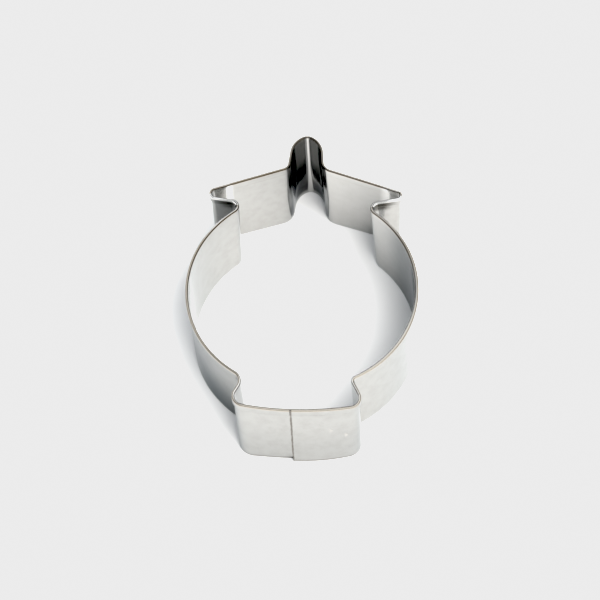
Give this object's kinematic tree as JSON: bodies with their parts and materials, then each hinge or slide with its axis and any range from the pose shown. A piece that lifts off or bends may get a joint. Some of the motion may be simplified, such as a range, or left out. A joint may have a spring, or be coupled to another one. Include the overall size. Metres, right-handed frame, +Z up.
{
  "type": "cookie cutter",
  "caption": "Hemmed steel strip cookie cutter in the outline of a round body with a square foot, sloping shoulders and a rounded spike, lapped and spot-welded at the foot.",
  "frame": {"origin": "below the middle of the whole cutter, in the plane of the cutting edge", "axes": "+Z up through the strip's height towards the hem, -Y towards the foot, +Y towards the spike, +X to the right seen from the foot"},
  "size_m": [0.0586, 0.0814, 0.025],
  "materials": {
    "band_steel": "bright rolled stainless sheet with faint rolling lines",
    "weld_steel": "dull grey pressed spot weld"
  },
  "bodies": {
    "root": {"cutter_band": "band_steel", "spot_weld_upper": "weld_steel", "spot_weld_lower": "weld_steel"}
  },
  "joints": []
}
